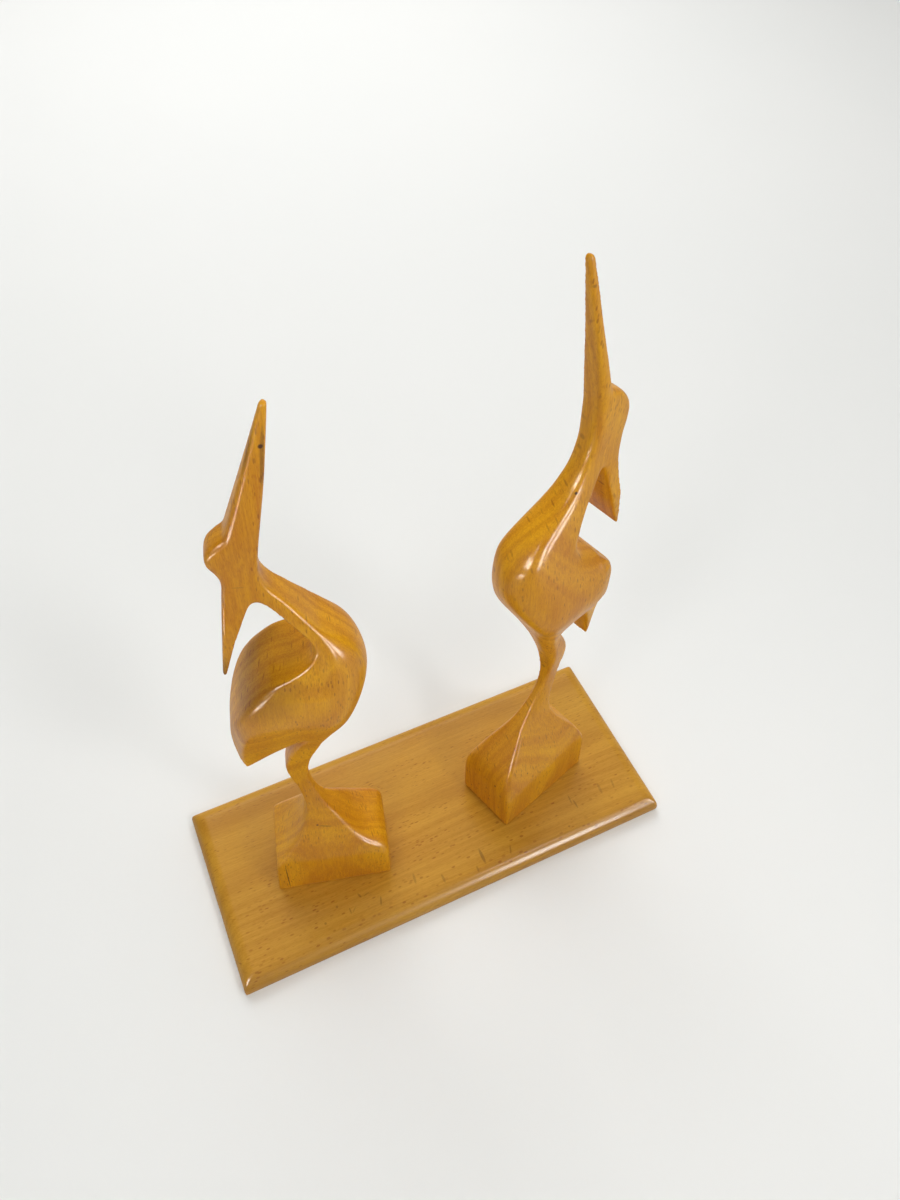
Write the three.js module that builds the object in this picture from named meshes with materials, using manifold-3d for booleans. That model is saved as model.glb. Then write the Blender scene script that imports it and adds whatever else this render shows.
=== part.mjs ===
// A pair of stylised cranes with raised beaks, sawn and sanded from beech blocks and glued on one beech board.
// Units are millimetres and +Z is up. The origin is the centre of the board's underside,
// +X runs along the board towards the taller crane, and +Y points to the board's back edge.
import * as THREE from "three";
import { mergeVertices } from "three/addons/utils/BufferGeometryUtils.js";
import Module from "manifold-3d";

const wasm = await Module();
wasm.setup();

// Driving dimensions of the board
const BOARD_LENGTH = 248;
const BOARD_WIDTH = 105;
const BOARD_THICKNESS = 12;
const BOARD_EDGE_RADIUS = 8;
const GLUE_GAP = 0.3;

// Driving dimensions of each crane's square pedestal, fore and aft, and across
const PEDESTAL_DEPTH = 60;
const PEDESTAL_WIDTH = 35;

// How finely the curves are divided
const SIDE_STEPS = 4;
const FRONT_STEPS = 3;
const ARC_STEPS = 12;
const TAPER_STEPS = 24;
const CUT_MARGIN = 5;
const JOIN_OVERLAP = 1;
const MERGE_DISTANCE = 1e-4;

const BEECH_ORANGE = 0xc08a3e;

// Each crane's side outline is drawn as [forward, height] landmarks above the board.
const SHORTER = {
  name: "shorter_crane",
  place: [-57.3, -2.1],
  heading: -14.8,
  pedestalFront: [30, 29],
  front: [
    [26.8, 34.5], [20.5, 39.5], [14.6, 47], [9.2, 57], [3, 69], [-0.8, 84], [-1.8, 100], [1.4, 117],
    [7.3, 131.5], [14, 147], [21.5, 161.5], [27.8, 174], [30.9, 186.2], [28.7, 198.3], [21.9, 208.8],
    [15.8, 217.6], [11, 225.5], [6, 233.5], [1.4, 240.6], [-0.8, 248.5], [0.6, 259], [3, 270],
    [6.5, 285], [10, 302],
  ],
  beakTip: [[12.7, 316.8], [12, 317.6], [10.8, 317]],
  crownRoot: [-8.4, 267.2],
  crown: [
    [-11.5, 265.2], [-15.1, 261.4], [-16.5, 256.4], [-14.6, 251.4], [-13.3, 246.6], [-14.6, 237.5],
    [-16.9, 226],
  ],
  crestTip: [[-21.9, 198.2], [-20.7, 197.8]],
  neckBack: [
    [-13.8, 218], [-8.6, 229.6], [-6.4, 233.8], [-3.6, 235.4], [-0.2, 232.8], [3.5, 227.6], [8.4, 220],
    [11.6, 215], [13.2, 210.8], [12.6, 206.2], [9, 201.7], [3, 197.9], [-4, 194.5], [-11.2, 187.8],
    [-17.8, 178.8], [-23, 168.4], [-26.2, 158.7], [-28.1, 147], [-28.4, 134],
  ],
  tailTip: [-26.8, 117.5],
  underTail: [],
  crotch: [4.2, 146.5],
  belly: [[7.2, 133], [11, 146], [14.3, 158], [17.1, 170]],
  legBack: [
    [-2.1, 135], [-8, 120.5], [-10.6, 108.5], [-10, 97], [-8.1, 87], [-6.8, 77], [-6.3, 69],
    [-7.6, 60.5], [-12.6, 49.5], [-19, 40.5],
  ],
  pedestalBack: [-26.8, 31],
  noseRadius: 22,
  headCut: 196.4,
  beakRoot: 266,
};

const TALLER = {
  name: "taller_crane",
  place: [59.8, -3.85],
  heading: 197.5,
  pedestalFront: [30, 31],
  front: [
    [27.8, 41], [23, 50], [16.2, 60], [8.5, 72], [0.8, 84.5], [-4, 97], [-4.9, 109], [-3, 121.5],
    [1.3, 134], [6.8, 148], [12.9, 162], [19.7, 175.4], [25.8, 187.2], [29.6, 199], [27.6, 211],
    [21, 220.6], [13.1, 226.9], [5.6, 232.1], [-0.3, 237.9], [-4.6, 245], [-7.4, 253.7], [-8.4, 264],
    [-7.9, 275], [-5.6, 288], [-1.4, 306],
  ],
  beakTip: [[6.1, 335.5], [5.3, 336.4], [4, 335.8]],
  crownRoot: [-11.8, 279.2],
  crown: [
    [-15.8, 277.2], [-20.7, 273.2], [-24.4, 266.6], [-24.9, 259.5], [-24.1, 250.5], [-24.6, 234],
  ],
  crestTip: [[-27.9, 204.7], [-26.8, 204.3]],
  neckBack: [
    [-21.6, 220], [-18.2, 234.2], [-16.6, 239.9], [-14.6, 241.2], [-12.9, 237.8], [-10.2, 231.9],
    [-7, 226.9], [-4.1, 221.2], [-1.5, 215.1], [0.6, 209.6], [-1.8, 205.2], [-7.4, 201.1],
    [-13.8, 197], [-19.2, 190], [-22, 180], [-23.9, 168], [-26, 155], [-27.7, 140],
  ],
  tailTip: [-28, 119.3],
  underTail: [[-24.8, 131], [-21.6, 142], [-17.2, 150.2], [-10.6, 154.6]],
  crotch: [-5.4, 152.6],
  belly: [[6.4, 133], [8, 146], [10, 156], [13.4, 165.5], [16.9, 175]],
  legBack: [
    [-3.9, 147], [-6.8, 139], [-12.4, 127], [-13.2, 114], [-12.9, 101], [-11.6, 89], [-9.9, 78.5],
    [-9.7, 70], [-12.6, 61], [-18, 52], [-23.6, 43.5],
  ],
  pedestalBack: [-28, 33],
  noseRadius: 23.5,
  headCut: 202.5,
  beakRoot: 282,
};

// The front outline as [half width, height]. Both cranes share it below the belly and above the back.
const SQUARE_SIDES_TOP = 15.5;
const LEG_HALF_WIDTHS = [
  [17.1, 31], [14.3, 41], [11.3, 50], [8.2, 58], [4.7, 68], [2.7, 80], [2.3, 92], [2.9, 105],
  [5, 119.5],
];
const NECK_HALF_WIDTHS = [
  [17.1, 184], [15.3, 195], [12.5, 205], [10, 215], [7.7, 225], [5.8, 235], [4.5, 250],
];
const HEAD_HALF_WIDTH = 5.1;
const BEAK_TIP_HALF_WIDTH = 1.2;

// Seen from above, the body tapers back to the tail through these [forward, half width] points.
const TAIL_TAPER = [[-5, 17.5], [-14, 17], [-19.5, 15.4], [-23, 12.4], [-25.5, 8.6], [-28, 5], [-31, 4]];

// Above the back, the head is taken in behind the neck, which makes the crest slimmer than the neck.
const CREST_TAPER = [[2, 17.5], [-12, 8.2], [-35, 8.2]];
const BELLY_CUT_HEIGHT = 118;

const toPoint = ([x, y]) => new THREE.Vector2(x, y);

function solidFrom(geometry) {
  geometry.deleteAttribute("normal");
  geometry.deleteAttribute("uv");
  const merged = mergeVertices(geometry, MERGE_DISTANCE);
  return new wasm.Manifold(new wasm.Mesh({
    numProp: 3,
    vertProperties: new Float32Array(merged.attributes.position.array),
    triVerts: new Uint32Array(merged.index.array),
  }));
}

function geometryFrom(solid) {
  const mesh = solid.getMesh();
  const geometry = new THREE.BufferGeometry();
  geometry.setAttribute("position", new THREE.BufferAttribute(mesh.vertProperties, 3));
  geometry.setIndex(new THREE.BufferAttribute(mesh.triVerts, 1));
  geometry.computeVertexNormals();
  return geometry;
}

// An outline in the (x, z) plane, sawn straight through across Y
function sawAcross(shape, width, steps) {
  const slab = new THREE.ExtrudeGeometry(shape, { depth: width, bevelEnabled: false, curveSegments: steps });
  slab.translate(0, 0, -width / 2);
  slab.rotateX(Math.PI / 2);
  return solidFrom(slab);
}

// An outline in the (y, z) plane, sawn straight through along X
function sawAlong(shape, depth, steps) {
  const slab = new THREE.ExtrudeGeometry(shape, { depth, bevelEnabled: false, curveSegments: steps });
  slab.translate(0, 0, -depth / 2);
  slab.rotateX(Math.PI / 2);
  slab.rotateZ(Math.PI / 2);
  return solidFrom(slab);
}

// A plan outline in the (x, y) plane, standing between two heights
function standUp(shape, bottom, top, steps) {
  const depth = top - bottom;
  const slab = new THREE.ExtrudeGeometry(shape, { depth, bevelEnabled: false, curveSegments: steps });
  slab.translate(0, 0, bottom);
  return solidFrom(slab);
}

function sideOutline(crane) {
  const half = PEDESTAL_DEPTH / 2;
  const shape = new THREE.Shape();
  shape.moveTo(-half, 0);
  shape.lineTo(half, 0);
  shape.lineTo(...crane.pedestalFront);
  shape.splineThru([...crane.front, crane.beakTip[0]].map(toPoint));
  shape.lineTo(...crane.beakTip[1]);
  shape.lineTo(...crane.beakTip[2]);
  shape.lineTo(...crane.crownRoot);
  shape.splineThru([...crane.crown, crane.crestTip[0]].map(toPoint));
  shape.lineTo(...crane.crestTip[1]);
  shape.splineThru([...crane.neckBack, crane.tailTip].map(toPoint));
  shape.splineThru([...crane.underTail, crane.crotch].map(toPoint));
  shape.splineThru([...crane.legBack, crane.pedestalBack].map(toPoint));
  shape.closePath();
  return shape;
}

function frontOutline(crane) {
  const half = PEDESTAL_WIDTH / 2;
  const beakTop = crane.beakTip[1][1];
  const rightSide = [
    ...LEG_HALF_WIDTHS,
    ...crane.belly,
    ...NECK_HALF_WIDTHS,
    [HEAD_HALF_WIDTH, crane.beakRoot],
    [(HEAD_HALF_WIDTH + BEAK_TIP_HALF_WIDTH) / 2, (crane.beakRoot + beakTop) / 2],
    [BEAK_TIP_HALF_WIDTH, beakTop],
    [BEAK_TIP_HALF_WIDTH, beakTop + CUT_MARGIN],
  ].map(toPoint);
  const leftSide = rightSide.map((point) => new THREE.Vector2(-point.x, point.y)).reverse();
  const shape = new THREE.Shape();
  shape.moveTo(-half, -CUT_MARGIN);
  shape.lineTo(half, -CUT_MARGIN);
  shape.lineTo(half, SQUARE_SIDES_TOP);
  shape.splineThru(rightSide);
  shape.lineTo(leftSide[0].x, leftSide[0].y);
  shape.splineThru([...leftSide.slice(1), new THREE.Vector2(-half, SQUARE_SIDES_TOP)]);
  shape.closePath();
  return shape;
}

// Seen from above, the front is half an ellipse and the sides run back through the taper's points.
function planOutline(crane, taper) {
  const half = PEDESTAL_WIDTH / 2;
  const breastFront = Math.max(...crane.front.map(([forward]) => forward));
  const centre = breastFront - crane.noseRadius;
  const shape = new THREE.Shape();
  shape.moveTo(centre, -half);
  shape.absellipse(centre, 0, crane.noseRadius, half, -Math.PI / 2, Math.PI / 2, false, 0);
  taper.forEach(([forward, width]) => shape.lineTo(forward, width));
  [...taper].reverse().forEach(([forward, width]) => shape.lineTo(forward, -width));
  shape.closePath();
  return shape;
}

function smoothed(points) {
  return new THREE.SplineCurve(points.map(toPoint)).getPoints(TAPER_STEPS).map(({ x, y }) => [x, y]);
}

function craneSolid(crane) {
  const top = crane.beakTip[1][1] + CUT_MARGIN;
  const side = sawAcross(sideOutline(crane), PEDESTAL_WIDTH + 2 * CUT_MARGIN, SIDE_STEPS);
  const depth = PEDESTAL_DEPTH + 2 * CUT_MARGIN;
  const front = sawAlong(frontOutline(crane), depth, FRONT_STEPS);
  const block = new THREE.BoxGeometry(depth, PEDESTAL_WIDTH, BELLY_CUT_HEIGHT + CUT_MARGIN);
  block.translate(0, 0, (BELLY_CUT_HEIGHT - CUT_MARGIN) / 2);
  const bodyPlan = planOutline(crane, smoothed(TAIL_TAPER));
  const headPlan = planOutline(crane, CREST_TAPER);
  const plans = solidFrom(block)
    .add(standUp(bodyPlan, BELLY_CUT_HEIGHT - JOIN_OVERLAP, crane.headCut + JOIN_OVERLAP, ARC_STEPS))
    .add(standUp(headPlan, crane.headCut, top, ARC_STEPS));
  return side.intersect(front).intersect(plans);
}

// The board's four upper edges are rounded over and meet in mitres at the corners.
function roundedTopOutline(length) {
  const half = length / 2;
  const radius = BOARD_EDGE_RADIUS;
  const shoulder = BOARD_THICKNESS - radius;
  const shape = new THREE.Shape();
  shape.moveTo(-half, 0);
  shape.lineTo(half, 0);
  shape.lineTo(half, shoulder);
  shape.absarc(half - radius, shoulder, radius, 0, Math.PI / 2, false);
  shape.lineTo(-half + radius, BOARD_THICKNESS);
  shape.absarc(-half + radius, shoulder, radius, Math.PI / 2, Math.PI, false);
  shape.closePath();
  return shape;
}

function boardSolid() {
  const across = sawAcross(roundedTopOutline(BOARD_LENGTH), BOARD_WIDTH + 2 * CUT_MARGIN, ARC_STEPS);
  const along = sawAlong(roundedTopOutline(BOARD_WIDTH), BOARD_LENGTH + 2 * CUT_MARGIN, ARC_STEPS);
  return across.intersect(along);
}

function beechMesh(name, solid) {
  const material = new THREE.MeshStandardMaterial({ color: BEECH_ORANGE, roughness: 0.3, metalness: 0 });
  const mesh = new THREE.Mesh(geometryFrom(solid), material);
  mesh.name = name;
  return mesh;
}

const cranePair = new THREE.Group();
cranePair.add(beechMesh("base_board", boardSolid()));
for (const crane of [SHORTER, TALLER]) {
  const mesh = beechMesh(crane.name, craneSolid(crane));
  mesh.position.set(crane.place[0], crane.place[1], BOARD_THICKNESS + GLUE_GAP);
  mesh.rotation.z = THREE.MathUtils.degToRad(crane.heading);
  cranePair.add(mesh);
}

export default cranePair;
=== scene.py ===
import math

import bpy
import numpy as np
from mathutils import Euler, Matrix, Vector


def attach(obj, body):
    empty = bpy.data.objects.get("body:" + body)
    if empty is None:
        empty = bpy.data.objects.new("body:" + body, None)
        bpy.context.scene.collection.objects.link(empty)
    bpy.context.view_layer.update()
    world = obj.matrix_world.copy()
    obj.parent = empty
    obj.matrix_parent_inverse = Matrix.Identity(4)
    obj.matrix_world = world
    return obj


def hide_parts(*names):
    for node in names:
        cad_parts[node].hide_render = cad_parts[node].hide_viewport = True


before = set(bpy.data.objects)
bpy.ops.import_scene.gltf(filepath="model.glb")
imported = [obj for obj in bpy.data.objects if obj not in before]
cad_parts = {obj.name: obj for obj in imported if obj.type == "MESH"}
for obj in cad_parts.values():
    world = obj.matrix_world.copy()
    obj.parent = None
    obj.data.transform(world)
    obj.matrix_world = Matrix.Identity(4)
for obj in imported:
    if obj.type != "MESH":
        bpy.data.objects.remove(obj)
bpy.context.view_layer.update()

MM = 0.001


# The board's length, width and thickness and the round of its upper edges, in mm
BOARD = (248.0, 105.0, 12.0)
BOARD_ROUND = 8.0
BOARD_ROUND_STEPS = 16

# How each crane stands on the board: its middle, the way its breast faces, and the height of its foot
GLUE_LINE = 0.3
FOOT = BOARD[2] + GLUE_LINE
CRANES = {
    "shorter_crane": {"middle": (-57.3, -2.1), "heading": -14.8},
    "taller_crane": {"middle": (59.8, -3.85), "heading": 197.5},
}

# Light sanding takes off the saw's edge. The board gets only this, on a coarser skin. Cells are in mm.
LIGHT_RUBBING = 0.5
CRANE_CELL = 0.5
CRANE_LIGHT_PASSES = 8
BOARD_CELL = 1.0
BOARD_LIGHT_PASSES = 3

# Hard sanding rounds a crane: the passes that round an edge most and how hard each one rubs, how far that
# rounding reaches and the most wood left on for it, in mm, and the triangles in the finished skin
HARD_PASSES = 700
HARD_RUBBING = 0.9
MOST_REACH = 9.0
MOST_LEFT_ON = 2.0
SKIN_TRIANGLES = 190000

# At each height over a crane's foot: how far the sanding reaches, and the wood left on for it, all in mm
SHORTER_SANDING = [
    (0, 1.8, 0.3), (14, 3.2, 0.8), (38, 4.0, 1.0), (54, 2.0, 0.5), (66, 1.0, 0.2), (122, 1.2, 0.3),
    (140, 2.6, 0.4), (160, 4.6, 0.8),
    (205, 4.6, 0.8), (218, 1.6, 0.3), (226, 0.9, 0.2), (242, 0.9, 0.2), (252, 2.6, 0.5), (280, 2.4, 0.4),
    (305, 1.6, 0.2), (318, 1.0, 0.2),
]
TALLER_SANDING = [
    (0, 1.8, 0.3), (14, 2.8, 0.7), (38, 3.4, 0.8), (54, 2.0, 0.5), (66, 1.0, 0.2), (112, 1.3, 0.3),
    (126, 4.0, 0.7), (142, 7.5, 1.1), (160, 8.5, 1.4),
    (200, 8.5, 1.5), (222, 4.8, 0.8), (245, 3.4, 0.5), (268, 3.4, 0.7), (290, 2.6, 0.5), (325, 1.4, 0.3),
    (337, 1.0, 0.2),
]

# Four places are sanded otherwise than their height says: the reach and the wood left on there, in mm
BREAST_SANDING = (9.0, 2.0)
NAPE_SANDING = (1.0, 0.2)
TAIL_SANDING = (1.6, 0.3)
CREST_SANDING = (0.8, 0.1)

# Where a crest sets in, in mm behind the crane's middle and over its foot, and how much of the light
# sanding its tip is spared
CREST_BEHIND = (12, 15)
CREST_OVER = (191, 194)
TIP_SPARED = 0.8

# Weights are rounded to this many steps, so that each step is written in one call
WEIGHT_STEPS = 150

# Points closer than this are one point, and points within this height are level, in mm
MERGE_DISTANCE = 0.01
LEVEL = 0.1


def deselect_all():
    """Leaves edit mode and selects nothing."""
    if bpy.context.object and bpy.context.object.mode != "OBJECT":
        bpy.ops.object.mode_set(mode="OBJECT")
    bpy.ops.object.select_all(action="DESELECT")


def make_active(piece):
    """Selects one piece and nothing else."""
    deselect_all()
    piece.select_set(True)
    bpy.context.view_layer.objects.active = piece


def apply_modifier(piece, kind, **settings):
    """Adds one modifier with its settings and applies it."""
    make_active(piece)
    modifier = piece.modifiers.new(kind.title(), kind)
    for setting, value in settings.items():
        setattr(modifier, setting, value)
    bpy.ops.object.modifier_apply(modifier=modifier.name)


def merged_copy(node, name):
    """A copy of a sawn solid, with its loose triangles joined into one skin."""
    piece = bpy.data.objects.new(name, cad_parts[node].data.copy())
    bpy.context.scene.collection.objects.link(piece)
    piece.data.materials.clear()
    make_active(piece)
    bpy.ops.object.mode_set(mode="EDIT")
    bpy.ops.mesh.select_all(action="SELECT")
    bpy.ops.mesh.remove_doubles(threshold=MERGE_DISTANCE * MM)
    bpy.ops.mesh.normals_make_consistent(inside=False)
    bpy.ops.object.mode_set(mode="OBJECT")
    return piece


def corners(piece):
    """All the points of a mesh, as rows of x, y and z in metres."""
    points = np.empty(len(piece.data.vertices) * 3)
    piece.data.vertices.foreach_get("co", points)
    return points.reshape(-1, 3)


def ramp(values, start, end):
    """0 before start, 1 after end, and smooth between them."""
    share = np.clip((values - start) / (end - start), 0, 1)
    return share * share * (3 - 2 * share)


def crane_axes(points, crane):
    """Forward and height in mm, measured from the middle of the crane's foot."""
    x = points[:, 0] / MM - crane["middle"][0]
    y = points[:, 1] / MM - crane["middle"][1]
    turn = math.radians(crane["heading"])
    return x * math.cos(turn) + y * math.sin(turn), points[:, 2] / MM - FOOT


def paint_group(piece, name, weights):
    """Vertex weights, rounded to small steps."""
    group = piece.vertex_groups.new(name=name)
    steps = np.round(weights * WEIGHT_STEPS).astype(int)
    for step in np.unique(steps[steps > 0]):
        group.add(np.nonzero(steps == step)[0].tolist(), step / WEIGHT_STEPS, "REPLACE")


def above_crest_foot(forward, height):
    """1 where the crest and the head's back are, and 0 before and below them."""
    return ramp(-forward, *CREST_BEHIND) * ramp(height, *CREST_OVER)


def brought_towards(amounts, place, share):
    """The reach and the wood left on, brought towards those of a place by the place's share in each point."""
    return [amount * (1 - share) + wanted * share for amount, wanted in zip(amounts, place)]


def sanding(node, forward, height):
    """How far the sanding reaches at each point, and the wood left on there, in mm."""
    heights, reaches, left = zip(*(SHORTER_SANDING if node == "shorter_crane" else TALLER_SANDING))
    amounts = [np.interp(height, heights, reaches), np.interp(height, heights, left)]
    if node == "shorter_crane":
        breast = ramp(forward, -2, 12) * ramp(height, 124, 142) * (1 - ramp(height, 200, 220))
        amounts = brought_towards(amounts, BREAST_SANDING, breast)
        nape = ramp(height, 186, 192) * (1 - ramp(height, 222, 235)) * (1 - ramp(forward, 13, 20))
        nape = nape * ramp(forward, -10, 0)
        amounts = brought_towards(amounts, NAPE_SANDING, nape)
    tail = ramp(-forward, 12, 22) * (1 - ramp(height, 185, 200))
    amounts = brought_towards(amounts, TAIL_SANDING, tail)
    crest = above_crest_foot(forward, height) * (1 - ramp(height, 225, 250))
    return brought_towards(amounts, CREST_SANDING, crest)


def sand_crane(node, crane):
    """A sawn crane rubbed round, then swelled by the wood left on, because rubbing also shrinks it."""
    piece = merged_copy(node, "sanded_" + node)
    apply_modifier(piece, "REMESH", mode="VOXEL", voxel_size=CRANE_CELL * MM, use_smooth_shade=True)
    forward, height = crane_axes(corners(piece), crane)
    reach, left_on = sanding(node, forward, height)
    crest_tip = above_crest_foot(forward, height) * (1 - ramp(height, 206, 222))
    paint_group(piece, "all_but_crest_tip", 1 - TIP_SPARED * crest_tip)
    paint_group(piece, "rounded", (reach / MOST_REACH) ** 2)
    paint_group(piece, "left_on", left_on / MOST_LEFT_ON)
    apply_modifier(piece, "SMOOTH", factor=LIGHT_RUBBING, iterations=CRANE_LIGHT_PASSES,
                   vertex_group="all_but_crest_tip")
    apply_modifier(piece, "SMOOTH", factor=HARD_RUBBING, iterations=HARD_PASSES, vertex_group="rounded")
    apply_modifier(piece, "DISPLACE", mid_level=0, strength=MOST_LEFT_ON * MM, vertex_group="left_on")
    piece.vertex_groups.clear()
    triangles = 2 * len(piece.data.polygons)
    apply_modifier(piece, "DECIMATE", ratio=min(1, SKIN_TRIANGLES / triangles))
    make_active(piece)
    bpy.ops.object.shade_smooth()
    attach(piece, "root")
    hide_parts(node)
    return piece


sanded = [sand_crane(node, crane) for node, crane in CRANES.items()]


def make_board():
    """A planed board. Its four upper edges are rounded over and meet in mitres."""
    deselect_all()
    bpy.ops.mesh.primitive_cube_add(size=1, location=(0, 0, BOARD[2] / 2 * MM))
    piece = bpy.context.object
    piece.name = "rounded_board"
    piece.scale = [side * MM for side in BOARD]
    bpy.ops.object.transform_apply(location=True, rotation=True, scale=True)
    bpy.ops.object.mode_set(mode="EDIT")
    bpy.ops.mesh.select_all(action="DESELECT")
    bpy.ops.object.mode_set(mode="OBJECT")
    top = BOARD[2] * MM
    for edge in piece.data.edges:
        edge.select = all(abs(piece.data.vertices[i].co.z - top) < LEVEL * MM for i in edge.vertices)
    bpy.ops.object.mode_set(mode="EDIT")
    bpy.ops.mesh.select_mode(type="EDGE")
    bpy.ops.mesh.bevel(
        offset=BOARD_ROUND * MM, segments=BOARD_ROUND_STEPS, profile=0.5, miter_outer="SHARP")
    bpy.ops.object.mode_set(mode="OBJECT")
    apply_modifier(piece, "REMESH", mode="VOXEL", voxel_size=BOARD_CELL * MM, use_smooth_shade=True)
    apply_modifier(piece, "SMOOTH", factor=LIGHT_RUBBING, iterations=BOARD_LIGHT_PASSES)
    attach(piece, "root")
    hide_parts("base_board")
    return piece


board = make_board()


def linear(hex_colour):
    """An sRGB hex colour as linear red, green, blue and alpha."""
    levels = []
    for at in (1, 3, 5):
        share = int(hex_colour[at:at + 2], 16) / 255
        levels.append(share / 12.92 if share <= 0.04045 else ((share + 0.055) / 1.055) ** 2.4)
    return levels + [1]


def add_node(tree, kind, inputs=None, **settings):
    """Adds one node with its settings, and fills its inputs with values or with other nodes' outputs."""
    made = tree.nodes.new("ShaderNode" + kind)
    for setting, value in settings.items():
        setattr(made, setting, value)
    for slot, value in (inputs or {}).items():
        if isinstance(value, bpy.types.NodeSocket):
            tree.links.new(value, made.inputs[slot])
        else:
            made.inputs[slot].default_value = value
    return made


# Beech: the colours of early and late wood in the cranes and in the board, of a ray fleck, and of the dark
# marks and the painted shade
CRANE_WOOD = ("#E2A314", "#BC7409")
BOARD_WOOD = ("#C9952E", "#AE781C")
RAY_BROWN = "#864408"
MARK_AND_SHADE_BROWN = "#3A1C08"

# The roughness of the semi-gloss lacquer, a little duller on the board
CRANE_SHEEN = 0.19
BOARD_SHEEN = 0.22

# The growth rings' width, and the cell that holds one ray fleck, along the grain, across it and towards the
# pith, in mm. The fleck fills about half of its cell's width, wider than a real ray, so that it shows.
RING_WIDTH = 3.4
RAY_HEIGHT = 4.4
RAY_WIDTH = 0.9
RAY_DEPTH = 7.0

# How often each pattern repeats in a millimetre, across the grain both ways and then along it. Fibres come
# every 0.8 mm and run for 29 mm. Pores come every 0.3 mm and are 2.5 mm long. Both are coarser than the real
# ones, so that they show. Drifts are 22 by 71 mm, and the log's bends 33 by 167 mm.
FIBRES_PER_MM = (1.2, 1.2, 0.035)
PORES_PER_MM = (3.0, 3.0, 0.4)
DRIFTS_PER_MM = (0.045, 0.045, 0.014)
BENDS_PER_MM = (0.03, 0.03, 0.006)

# How far the bends move the grain across, in mm
BEND_REACH = (7.0, 7.0, 0.0)

# How far each pattern takes the ground from early towards late wood, and a fleck towards its own brown
RING_TONE = 0.33
FIBRE_TONE = 0.45
PORE_TONE = 0.4
DRIFT_TONES = (-0.1, 0.3)
FLECK_TONE = 0.6

# The lacquer over the fibres, and its slow waves, every 14 mm: how strong each relief is and its depth in mm
FIBRE_RELIEF = (0.05, 0.2)
WAVES_PER_MM = 0.07
WAVE_RELIEF = (0.15, 1.0)


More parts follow.
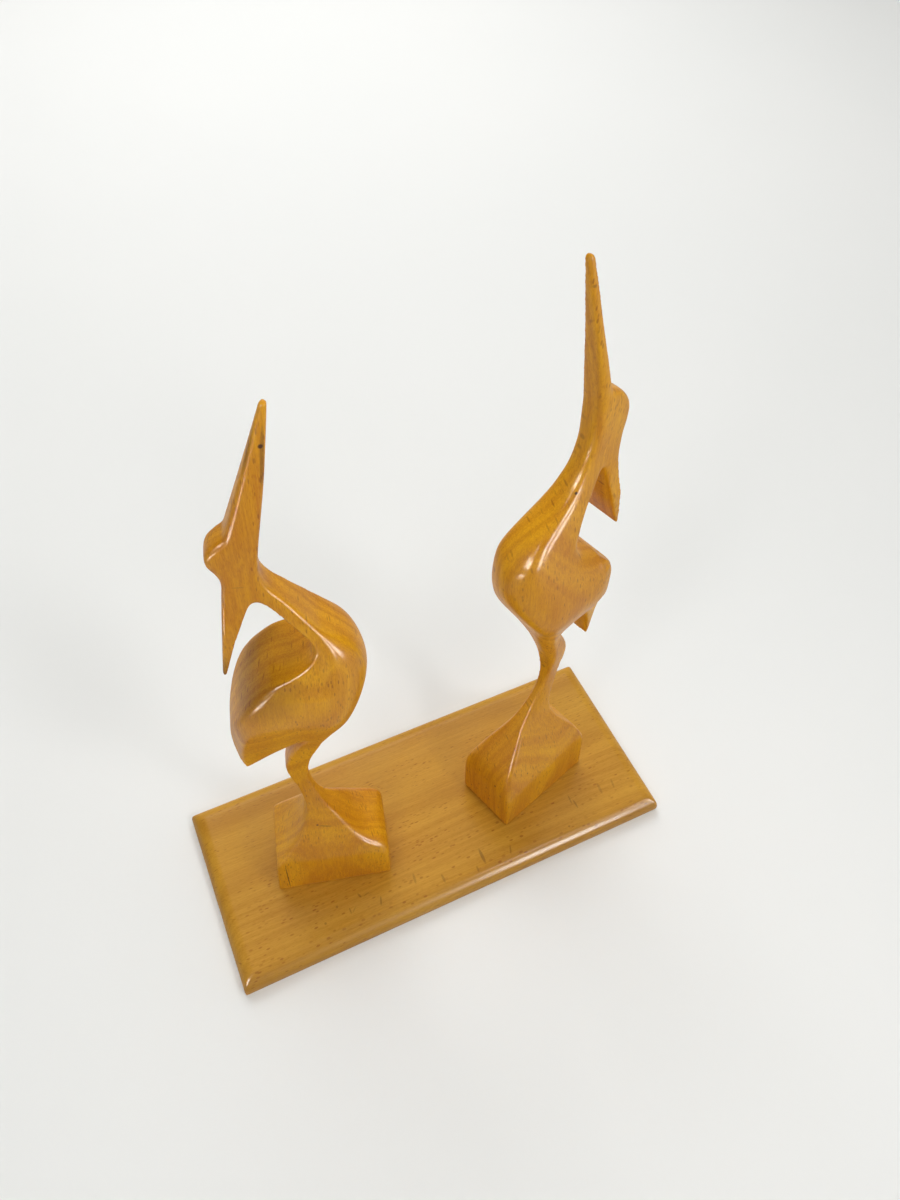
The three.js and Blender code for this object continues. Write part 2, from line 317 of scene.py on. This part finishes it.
def beech(name, wood, sheen, turn, place, pith, marks):
    """Lacquered beech. turn and place bring the piece into its plank, with the grain along Z, in mm,
    and pith is where the middle of the log was. The eye gets a warm orange-brown ground with soft growth
    rings, short dark ray flecks along the grain, fine fibres and a clear, slightly uneven lacquer.
    In a MapRange node, inputs 1 and 2 are the range that it reads, and 3 and 4 the range that it gives."""
    material = bpy.data.materials.new(name)
    material.use_nodes = True
    tree = material.node_tree
    tree.nodes.clear()
    start = -(turn @ Vector(place)) - Vector(pith)
    local = add_node(tree, "TexCoord").outputs["Object"]
    plank = add_node(tree, "Mapping", {
        "Vector": local,
        "Location": start,
        "Rotation": turn.to_euler(),
        "Scale": (1 / MM, 1 / MM, 1 / MM),
    }).outputs["Vector"]

    # The log's own directions: out from the pith, round it, and along the grain
    wander = add_node(tree, "Mapping", {"Vector": plank, "Scale": BENDS_PER_MM}).outputs["Vector"]
    wander = add_node(tree, "TexNoise", {"Vector": wander, "Scale": 1.0, "Detail": 2.0}).outputs["Color"]
    wander = add_node(tree, "VectorMath", {0: wander, 1: BEND_REACH}, operation="MULTIPLY").outputs[0]
    bent = add_node(tree, "VectorMath", {0: plank, 1: wander}, operation="ADD").outputs[0]
    flat = add_node(tree, "VectorMath", {0: bent, 1: (1, 1, 0)}, operation="MULTIPLY").outputs[0]
    out = add_node(tree, "VectorMath", {0: flat}, operation="LENGTH").outputs["Value"]
    parts = add_node(tree, "SeparateXYZ", {0: bent})
    angle = add_node(tree, "Math", {0: parts.outputs[1], 1: parts.outputs[0]},
                     operation="ARCTAN2").outputs[0]
    around = add_node(tree, "Math", {0: angle, 1: Vector(pith).length}, operation="MULTIPLY").outputs[0]
    log = add_node(tree, "CombineXYZ", {0: out, 1: around, 2: parts.outputs[2]}).outputs[0]

    # Growth rings, irregular in width
    ring_place = add_node(tree, "Math", {0: out, 1: 1 / RING_WIDTH}, operation="MULTIPLY").outputs[0]
    rings = add_node(tree, "TexNoise", {"W": ring_place, "Scale": 1.0, "Detail": 2.0, "Roughness": 0.6},
                     noise_dimensions="1D").outputs[0]
    ring_tone = add_node(tree, "MapRange", {0: rings, 1: 0.36, 2: 0.64, 3: 0.0, 4: 1.0},
                         interpolation_type="SMOOTHSTEP").outputs[0]

    # Fibres: long fine streaks
    fibre_place = add_node(tree, "Mapping", {"Vector": bent, "Scale": FIBRES_PER_MM}).outputs["Vector"]
    fibres = add_node(tree, "TexNoise", {"Vector": fibre_place, "Scale": 1.0, "Detail": 3.0,
                                         "Roughness": 0.65}).outputs[0]

    # Pores: short fine dashes along the grain
    pore_place = add_node(tree, "Mapping", {"Vector": bent, "Scale": PORES_PER_MM}).outputs["Vector"]
    pores = add_node(tree, "TexNoise", {"Vector": pore_place, "Scale": 1.0, "Detail": 1.0}).outputs[0]
    pore_tone = add_node(tree, "MapRange", {0: pores, 1: 0.5, 2: 0.75, 3: 0.0, 4: PORE_TONE}).outputs[0]

    # Broad lighter and darker drifts in the plank
    drift_place = add_node(tree, "Mapping", {"Vector": bent, "Scale": DRIFTS_PER_MM}).outputs["Vector"]
    drift = add_node(tree, "TexNoise", {"Vector": drift_place, "Scale": 1.0, "Detail": 1.0}).outputs[0]

    # Rays: thin spindles along the grain, deep towards the pith, each of its own darkness
    ray_scale = (1 / RAY_DEPTH, 1 / RAY_WIDTH, 1 / RAY_HEIGHT)
    ray_place = add_node(tree, "Mapping", {"Vector": log, "Scale": ray_scale}).outputs["Vector"]
    rays = add_node(tree, "TexVoronoi", {"Vector": ray_place, "Scale": 1.0, "Randomness": 1.0})
    ray_core = add_node(tree, "MapRange", {0: rays.outputs["Distance"], 1: 0.16, 2: 0.34, 3: 1.0, 4: 0.0},
                        interpolation_type="SMOOTHSTEP").outputs[0]
    chosen = add_node(tree, "SeparateColor", {0: rays.outputs["Color"]}).outputs[0]
    chosen = add_node(tree, "MapRange", {0: chosen, 1: 0.3, 2: 1.0, 3: 0.0, 4: 1.0}).outputs[0]
    ray_mark = add_node(tree, "Math", {0: ray_core, 1: chosen}, operation="MULTIPLY").outputs[0]

    # The ground colour
    tone = add_node(tree, "Math", {0: ring_tone, 1: RING_TONE}, operation="MULTIPLY").outputs[0]
    fibre_tone = add_node(tree, "MapRange", {0: fibres, 1: 0.32, 2: 0.68, 3: 0.0, 4: FIBRE_TONE}).outputs[0]
    tone = add_node(tree, "Math", {0: tone, 1: fibre_tone}, operation="ADD").outputs[0]
    tone = add_node(tree, "Math", {0: tone, 1: pore_tone}, operation="ADD").outputs[0]
    drift_tone = add_node(tree, "MapRange", {0: drift, 1: 0.3, 2: 0.7, 3: DRIFT_TONES[0],
                                             4: DRIFT_TONES[1]}).outputs[0]
    tone = add_node(tree, "Math", {0: tone, 1: drift_tone}, operation="ADD", use_clamp=True).outputs[0]
    colour = add_node(tree, "Mix", {0: tone, 6: linear(wood[0]), 7: linear(wood[1])},
                      data_type="RGBA").outputs[2]
    ray_strength = add_node(tree, "Math", {0: ray_mark, 1: FLECK_TONE}, operation="MULTIPLY").outputs[0]
    colour = add_node(tree, "Mix", {0: ray_strength, 6: colour, 7: linear(RAY_BROWN)},
                      data_type="RGBA").outputs[2]

    # Marks at their own places on the piece, dark in the middle and soft at the rim. One broad one is painted
    # shade.
    for middle, lie, half_sizes, strength in marks:
        around_mark = add_node(tree, "Mapping", {
            "Vector": local,
            "Location": middle,
            "Rotation": lie,
            "Scale": half_sizes,
        }, vector_type="TEXTURE").outputs["Vector"]
        gap = add_node(tree, "VectorMath", {0: around_mark}, operation="LENGTH").outputs["Value"]
        mark = add_node(tree, "MapRange", {0: gap, 1: 0.5, 2: 1.0, 3: strength, 4: 0.0},
                        interpolation_type="SMOOTHSTEP").outputs[0]
        colour = add_node(tree, "Mix", {0: mark, 6: colour, 7: linear(MARK_AND_SHADE_BROWN)},
                          data_type="RGBA").outputs[2]

    # The lacquer follows the fibres faintly, and lies in long slow waves
    wave = add_node(tree, "TexNoise", {"Vector": plank, "Scale": WAVES_PER_MM, "Detail": 1.0}).outputs[0]
    fibre_bump = add_node(tree, "Bump", {"Height": fibres, "Strength": FIBRE_RELIEF[0],
                                         "Distance": FIBRE_RELIEF[1] * MM}).outputs[0]
    wave_bump = add_node(tree, "Bump", {"Height": wave, "Strength": WAVE_RELIEF[0],
                                        "Distance": WAVE_RELIEF[1] * MM, "Normal": fibre_bump}).outputs[0]
    shader = add_node(tree, "BsdfPrincipled", {
        "Base Color": colour,
        "Roughness": 0.5,
        "IOR": 1.5,
        "Specular IOR Level": 0.05,
        "Coat Weight": 0.3,
        "Coat Roughness": sheen,
        "Coat IOR": 1.5,
        "Normal": fibre_bump,
        "Coat Normal": wave_bump,
    })
    add_node(tree, "OutputMaterial", {"Surface": shader.outputs[0]})
    return material


def crane_beech(name, crane, lean, pith, marks):
    """A crane's beech: the grain stands nearly upright. lean is how far its plank was tilted, in degrees."""
    turn = Euler([math.radians(part) for part in lean]).to_matrix()
    turn = turn @ Euler((0, 0, math.radians(-crane["heading"]))).to_matrix()
    return beech(name, CRANE_WOOD, CRANE_SHEEN, turn, (*crane["middle"], FOOT), pith, marks)


# How deep a thin mark goes, in mm, the way the shorter crane's near side faces, and straight up
MARK_DEPTH = 2.0
SHORTER_SIDE = (-0.255, -0.967, 0.0)
UPWARD = (0.0, 0.0, 1.0)


def dark_spot(place, radius, strength=0.9):
    """A round dark spot, in mm. It draws the knots, and one broad patch of painted shade."""
    return [side * MM for side in place], (0, 0, 0), (radius * MM, radius * MM, radius * MM), strength


def stroke(start, end, half_width, facing, strength):
    """A thin straight mark on a side that faces the direction facing. All its sizes are in mm."""
    start = Vector(start)
    end = Vector(end)
    along = (end - start).normalized()
    across = Vector(facing).cross(along).normalized()
    inward = along.cross(across)
    lie = Matrix((along, across, inward)).transposed().to_euler()
    half_sizes = ((end - start).length / 2 * MM, half_width * MM, MARK_DEPTH * MM)
    return (start + end) / 2 * MM, lie, half_sizes, strength


shorter_marks = [
    # A drying crack in the pedestal, a dark stroke at the foot of the leg, and a scratch on the head
    stroke((-83.4, -12.4, 48.0), (-85.2, -12.9, 10.0), 0.45, SHORTER_SIDE, 0.8),
    stroke((-62.8, -10.1, 68.2), (-55.3, -13.0, 66.2), 0.4, SHORTER_SIDE, 0.55),
    stroke((-69.3, -4.6, 256.8), (-64.0, -5.9, 256.1), 0.25, SHORTER_SIDE, 0.35),
    # A pin knot by that stroke, and one in the beak
    dark_spot((-62.4, -10.1, 68.4), 0.8),
    dark_spot((-49.4, -6.9, 315.3), 1.1),
    # Darker strokes along the beak's edges
    stroke((-47.2, -6.6, 325.0), (-52.4, -7.4, 296.0), 0.9, SHORTER_SIDE, 0.45),
    stroke((-56.7, -4.9, 303.0), (-49.4, -4.8, 324.0), 0.8, SHORTER_SIDE, 0.35),
    # Painted shade: a broad soft dark patch across the back, where the neck and head shade it
    dark_spot((-68.0, -2.0, 203.0), 26.0, 0.36),
]
taller_marks = [
    # Pin knots in the neck and, fainter, in the beak
    dark_spot((61.7, -8.6, 249.9), 0.9),
    dark_spot((57.3, -6.5, 338.0), 0.8, 0.4),
    # Two pin knots in the pedestal
    dark_spot((33.3, -19.0, 46.0), 0.9),
    dark_spot((50.0, -22.3, 53.2), 0.8),
]
board_marks = [
    # Short dark flecks across the front half of the board
    stroke((16.5, -34.0, 12.0), (16.4, -45.5, 12.0), 1.1, UPWARD, 0.4),
    stroke((78.4, -30.5, 12.0), (78.6, -37.5, 12.0), 0.7, UPWARD, 0.35),
    stroke((77.2, -27.0, 12.0), (76.6, -34.0, 12.0), 0.6, UPWARD, 0.3),
    stroke((-22.0, -32.0, 12.0), (-23.0, -39.5, 12.0), 0.9, UPWARD, 0.3),
    stroke((-8.2, -39.0, 12.0), (-8.1, -45.5, 12.0), 0.9, UPWARD, 0.3),
    stroke((11.2, -43.0, 12.0), (11.0, -47.5, 11.5), 0.8, UPWARD, 0.3),
    stroke((33.5, -40.0, 12.0), (31.2, -45.8, 11.8), 0.6, UPWARD, 0.35),
    stroke((-42.6, -36.5, 12.0), (-44.6, -42.5, 12.0), 0.6, UPWARD, 0.4),
    stroke((96.3, -27.0, 12.0), (95.6, -36.0, 12.0), 1.0, UPWARD, 0.25),
    stroke((105.0, -28.5, 12.0), (103.7, -35.5, 12.0), 0.8, UPWARD, 0.25),
    stroke((-60.3, -35.5, 12.0), (-60.3, -39.9, 12.0), 0.5, UPWARD, 0.35),
    stroke((-56.7, -36.5, 12.0), (-60.0, -39.6, 12.0), 0.45, UPWARD, 0.25),
    stroke((-53.7, -30.2, 12.0), (-52.3, -33.8, 12.0), 0.7, UPWARD, 0.35),
    stroke((-47.2, -32.3, 12.0), (-51.5, -33.4, 12.0), 0.5, UPWARD, 0.25),
    # Three faint spots
    dark_spot((-66.1, -32.8, 12.0), 0.9, 0.35),
    dark_spot((-74.6, -38.5, 12.0), 0.9, 0.35),
    dark_spot((68.6, -44.5, 12.0), 0.8, 0.35),
]

sanded[0].data.materials.append(crane_beech(
    "lacquered_beech_shorter", CRANES["shorter_crane"],
    lean=(4, -3, 0), pith=(6, 78, 0), marks=shorter_marks))
sanded[1].data.materials.append(crane_beech(
    "lacquered_beech_taller", CRANES["taller_crane"],
    lean=(-3, 2, 0), pith=(-5, -66, 0), marks=taller_marks))

# The board's grain runs along its length, so its plank is turned to bring that upright
board_turn = Euler((0, math.radians(-90), 0)).to_matrix()
board.data.materials.append(beech(
    "lacquered_beech_board", BOARD_WOOD, BOARD_SHEEN, board_turn,
    place=(0, 0, 0), pith=(40, 24, 0), marks=board_marks))

# The floor: its side in metres, its two whites, and how many soft patches of them come in a metre
FLOOR_SIDE = 8
FLOOR_WHITES = ("#EDEEEC", "#F1F1EF")
FLOOR_PATCHES = 3.0


def pale_floor():
    """Matt white card. The eye gets a plain pale ground that is very faintly mottled and doesn't shine."""
    deselect_all()
    bpy.ops.mesh.primitive_plane_add(size=FLOOR_SIDE, location=(0, 0, 0))
    floor = bpy.context.object
    floor.name = "pale_floor"
    material = bpy.data.materials.new("matt_white_card")
    material.use_nodes = True
    tree = material.node_tree
    tree.nodes.clear()
    local = add_node(tree, "TexCoord").outputs["Object"]
    mottle = add_node(tree, "TexNoise", {"Vector": local, "Scale": FLOOR_PATCHES, "Detail": 2.0}).outputs[0]
    colour = add_node(tree, "Mix", {0: mottle, 6: linear(FLOOR_WHITES[0]), 7: linear(FLOOR_WHITES[1])},
                      data_type="RGBA").outputs[2]
    shader = add_node(tree, "BsdfPrincipled", {
        "Base Color": colour,
        "Roughness": 0.7,
        "Specular IOR Level": 0.0,
    })
    add_node(tree, "OutputMaterial", {"Surface": shader.outputs[0]})
    floor.data.materials.append(material)


pale_floor()

# The tent round the pair: its white, the direction of its bright side, and its brightness there and opposite
TENT_WHITE = "#FFFFFC"
TENT_BRIGHT_SIDE = (0.6, 0.8, 0.0)
TENT_FRONT = 0.12
TENT_BACK = 0.75


def white_tent():
    """A pale room, bright behind the pair and dim in front of it."""
    world = bpy.data.worlds.new("white_tent")
    bpy.context.scene.world = world
    world.use_nodes = True
    tree = world.node_tree
    tree.nodes.clear()
    direction = add_node(tree, "TexCoord").outputs["Generated"]
    depth = add_node(tree, "VectorMath", {0: direction, 1: TENT_BRIGHT_SIDE},
                     operation="DOT_PRODUCT").outputs["Value"]
    depth = add_node(tree, "MapRange", {0: depth, 1: -0.4, 2: 0.7, 3: TENT_FRONT, 4: TENT_BACK},
                     interpolation_type="SMOOTHSTEP").outputs[0]
    background = add_node(tree, "Background", {"Color": linear(TENT_WHITE), "Strength": depth})
    add_node(tree, "OutputWorld", {"Surface": background.outputs[0]})


def add_lamp(name, place, sides, brightness, aim=(0, 0, 150), along=(1, 0, 0), spread=180,
             shine_only=False):
    """A soft lamp at a place, turned to an aim, with the first of its sides along a direction, in mm.
    brightness is its radiance, and spread is how widely it shines, in degrees. One that is shine_only makes
    highlights in the lacquer and lights nothing else."""
    data = bpy.data.lights.new(name, "AREA")
    data.shape = "RECTANGLE"
    data.size, data.size_y = [side * MM for side in sides]
    data.spread = math.radians(spread)
    data.energy = brightness * math.pi * data.size * data.size_y
    lamp = bpy.data.objects.new(name, data)
    bpy.context.scene.collection.objects.link(lamp)
    lamp.visible_diffuse = not shine_only
    lamp.visible_camera = False
    back = (Vector(place) - Vector(aim)).normalized()
    up = back.cross(Vector(along)).normalized()
    lamp.location = Vector(place) * MM
    lamp.rotation_euler = Matrix((up.cross(back), up, back)).transposed().to_euler()


white_tent()

# Two small lamps near the pair, two wide ones that fill the shadows, and one for the far end of the floor
add_lamp("near_right", (200, -430, 600), (100, 100), 30.0)
add_lamp("near_left", (-310, -230, 600), (100, 100), 18.0)
add_lamp("overhead", (150, 200, 1800), (1600, 1600), 0.85)
add_lamp("front_fill", (-260, -1480, 500), (1000, 1000), 1.0)
add_lamp("far_floor", (300, 1700, 1500), (1500, 1500), 0.9, aim=(250, 1000, 0), spread=80)

# The lamps that make highlights: place, sides, brightness, aim, and the direction of the first side
SHINE_LAMPS = {
    "front_shine": ((363, -1107, 330), (240, 600), 50.0, (60, 0, 150), (1.0, 0.3, 0.0)),
    "right_shine": ((510, -573, 330), (600, 170), 42.0, (0, 0, 250), (0.0, 0.0, 1.0)),
    "left_shine": ((-608, -325, 472), (370, 250), 45.0, (-45, 0, 210), (-0.5, 0.87, 0.0)),
    "low_left_shine": ((-326, -167, 116), (60, 120), 40.0, (50, -30, 60), (0.0, 0.0, 1.0)),
}
for lamp_name, (place, sides, brightness, aim, along) in SHINE_LAMPS.items():
    add_lamp(lamp_name, place, sides, brightness, aim, along, shine_only=True)

bpy.context.scene.view_settings.view_transform = "Standard"

# The camera, at the photo's viewing angle: its place in mm and its turns in degrees. Its lens comes from a
# focal length in pixels of a frame 1200 high, and from the sensor's height in mm.
CAMERA_PLACE = (-80.9, -202.65, 495.9)
CAMERA_YAW = -25.10
CAMERA_PITCH = 52.93
CAMERA_ROLL = 0.53
FRAME_HEIGHT = 1200
FOCAL_PIXELS = 906.6
SENSOR = 36.0


def add_camera():
    data = bpy.data.cameras.new("studio_camera")
    data.sensor_fit = "VERTICAL"
    data.sensor_height = SENSOR
    data.lens = SENSOR * FOCAL_PIXELS / FRAME_HEIGHT
    camera = bpy.data.objects.new("studio_camera", data)
    bpy.context.scene.collection.objects.link(camera)
    turn = Euler((0, 0, math.radians(CAMERA_YAW))).to_matrix()
    tilt = Euler((math.radians(90 - CAMERA_PITCH), 0, 0)).to_matrix()
    roll = Euler((0, 0, math.radians(CAMERA_ROLL))).to_matrix()
    camera.rotation_euler = (turn @ tilt @ roll).to_euler()
    camera.location = [side * MM for side in CAMERA_PLACE]
    bpy.context.scene.camera = camera


add_camera()
